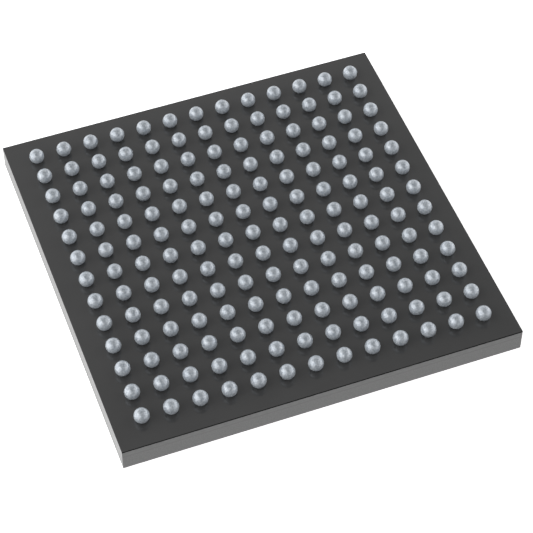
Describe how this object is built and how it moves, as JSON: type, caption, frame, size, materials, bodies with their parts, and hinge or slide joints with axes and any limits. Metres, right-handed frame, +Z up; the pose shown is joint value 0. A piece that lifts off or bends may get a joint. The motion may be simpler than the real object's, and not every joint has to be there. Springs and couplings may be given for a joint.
{
  "type": "ball grid array chip",
  "caption": "Thin ball grid array chip package: a wire-bonded die under a flat mould cap, on a square laminate whose other side carries a full grid of solder balls.",
  "frame": {"origin": "centre of the mould cap's outer face, on which the package lies", "axes": "+Z up through the package towards its solder balls, +X to the right along the lettered rows, towards column one, -Y out of the front wall"},
  "size_m": [0.014, 0.014, 0.0014],
  "materials": {
    "mould_compound": "dark grey filled epoxy, sawn matt on the walls and fine-textured on the face",
    "solder_mask": "charcoal solder mask, semi-gloss",
    "laminate": "black glass-cloth laminate, sawn edge",
    "solder": "reflowed tin-silver solder, satin with a fine grain",
    "copper": "plated copper, etched",
    "gold_plated_copper": "soft gold plating over copper",
    "gold_wire": "drawn gold",
    "silicon": "ground and polished silicon",
    "attach_film": "cured adhesive film"
  },
  "bodies": {
    "root": {"mould_cap": "mould_compound", "silicon_die": "silicon", "die_attach_film": "attach_film", "bond_wires": "gold_wire", "bond_fingers": "gold_plated_copper", "die_paddle": "copper", "mask_die_side": "solder_mask", "laminate_core": "laminate", "lands_and_vias": "copper", "mask_ball_side": "solder_mask", "solder_balls_row_a": "solder", "solder_balls_row_b": "solder", "solder_balls_row_c": "solder", "solder_balls_row_d": "solder", "solder_balls_row_e": "solder", "solder_balls_row_f": "solder", "solder_balls_row_g": "solder", "solder_balls_row_h": "solder", "solder_balls_row_j": "solder", "solder_balls_row_k": "solder", "solder_balls_row_l": "solder", "solder_balls_row_m": "solder", "solder_balls_row_n": "solder"}
  },
  "joints": []
}
